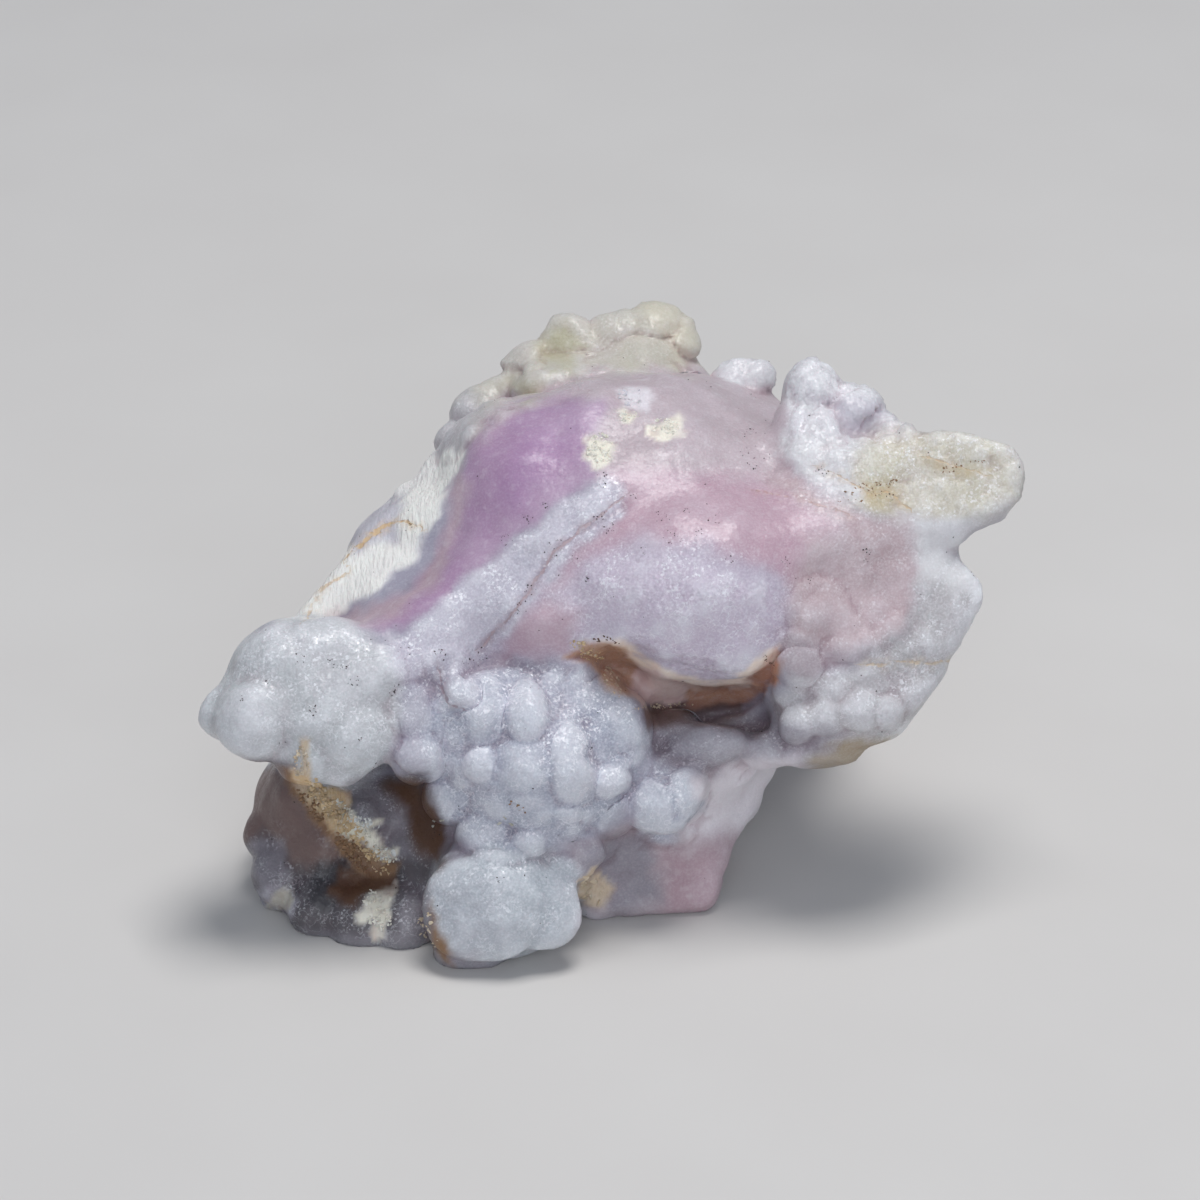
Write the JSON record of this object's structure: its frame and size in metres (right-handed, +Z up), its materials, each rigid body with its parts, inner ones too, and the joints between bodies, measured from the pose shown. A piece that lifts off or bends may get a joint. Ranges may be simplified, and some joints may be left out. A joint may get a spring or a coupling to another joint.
{
  "type": "pink opal specimen",
  "caption": "Natural botryoidal pink opal specimen: a smooth lobed pink body with knobbly bulbs, a side horn and wing, resting on its own flat feet.",
  "frame": {"origin": "bottom centre of the bounding box, on the surface the stone rests on", "axes": "+Z up, +X to the right along the stone's length as its display face is looked at, -Y towards the viewer"},
  "size_m": [0.0624, 0.0485, 0.0384],
  "materials": {
    "opal": null
  },
  "bodies": {
    "root": {"pink_opal": "opal"}
  },
  "joints": []
}
